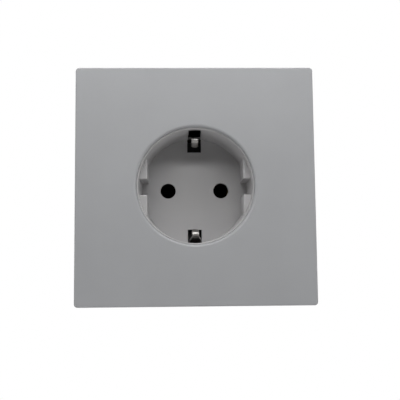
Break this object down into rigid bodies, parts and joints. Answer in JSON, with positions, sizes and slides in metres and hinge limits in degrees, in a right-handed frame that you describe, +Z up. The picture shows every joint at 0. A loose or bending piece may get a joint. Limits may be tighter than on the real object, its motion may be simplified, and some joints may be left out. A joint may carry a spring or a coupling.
{
  "type": "wall socket",
  "caption": "Flush wall socket: square cover plate round a plug recess with pin holes and sprung earth clips, on a steel frame with an insulated terminal body behind.",
  "frame": {"origin": "centre of the socket on the wall plane, between the box screws", "axes": "-Y points out of the wall to the user, +Z up, +X to the right of the user"},
  "size_m": [0.081, 0.042, 0.081],
  "materials": {
    "plate_plastic": "smooth satin moulding",
    "well_plastic": "smooth satin moulding",
    "carrier_plastic": "dull hard moulding",
    "frame_steel": "zinc plated sheet",
    "earth_metal": "nickel plated spring strip",
    "contact_brass": "plain rolled strip",
    "terminal_brass": "plain rolled strip",
    "rivet_brass": "bright",
    "spring_steel": "blued spring strip",
    "clamp_steel": "zinc plated",
    "screw_steel": "zinc plated"
  },
  "bodies": {
    "root": {"cover_plate": "plate_plastic", "socket_well": "well_plastic", "contact_carrier": "carrier_plastic", "contact_deck": "carrier_plastic", "carrier_back": "carrier_plastic", "support_frame": "frame_steel", "earth_strap": "earth_metal", "live_contact": "contact_brass", "neutral_contact": "contact_brass", "live_terminal": "terminal_brass", "neutral_terminal": "terminal_brass", "earth_terminal": "terminal_brass", "live_rivet": "rivet_brass", "neutral_rivet": "rivet_brass", "earth_rivet": "rivet_brass", "live_contact_spring": "spring_steel", "neutral_contact_spring": "spring_steel", "live_clamp_plates": "clamp_steel", "neutral_clamp_plates": "clamp_steel", "earth_clamp_plates": "clamp_steel", "live_terminal_screws": "screw_steel", "neutral_terminal_screws": "screw_steel", "earth_terminal_screws": "screw_steel", "well_screws": "screw_steel", "back_screws": "screw_steel"}
  },
  "joints": []
}
